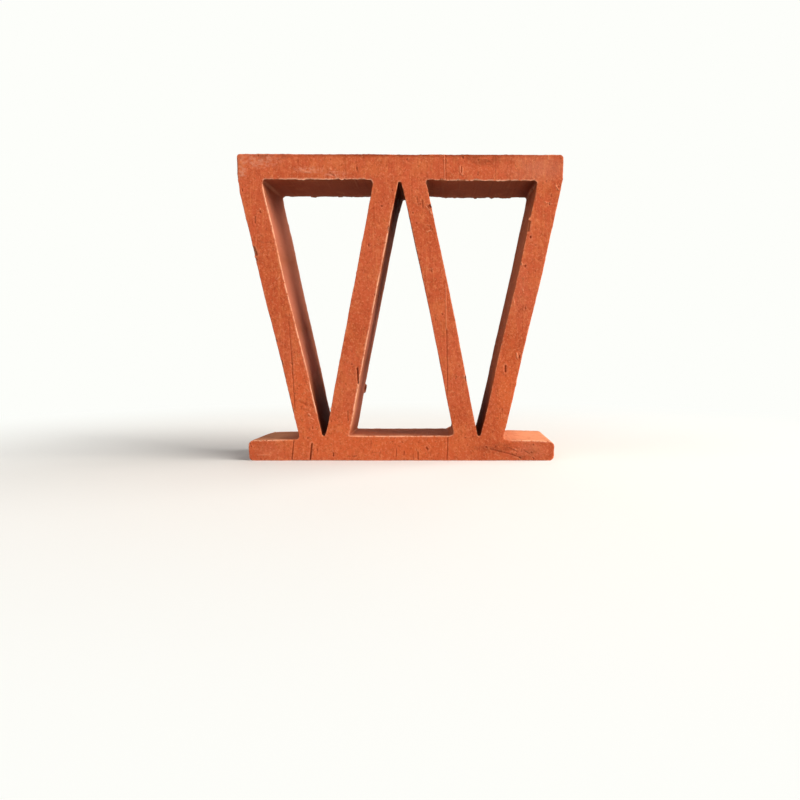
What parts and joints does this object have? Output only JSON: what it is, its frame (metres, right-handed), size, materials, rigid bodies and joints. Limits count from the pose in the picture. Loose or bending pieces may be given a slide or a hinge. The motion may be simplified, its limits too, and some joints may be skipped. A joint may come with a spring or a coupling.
{
  "type": "terracotta breeze block",
  "caption": "Screen wall block of fired clay: two slabs joined by zigzag webs that leave slender triangular openings right through.",
  "frame": {"origin": "centre of the lower bed face, the underside of the slab that stands out past the outer webs", "axes": "+X along the slabs, +Y through the openings from the front wire-cut face at -Y to the back one, +Z from the lower bed to the upper bed"},
  "size_m": [0.2, 0.06, 0.19],
  "materials": {
    "terracotta": "matte, wire-cut faces and extruded walls, unglazed"
  },
  "bodies": {
    "root": {"breeze_block": "terracotta"}
  },
  "joints": []
}
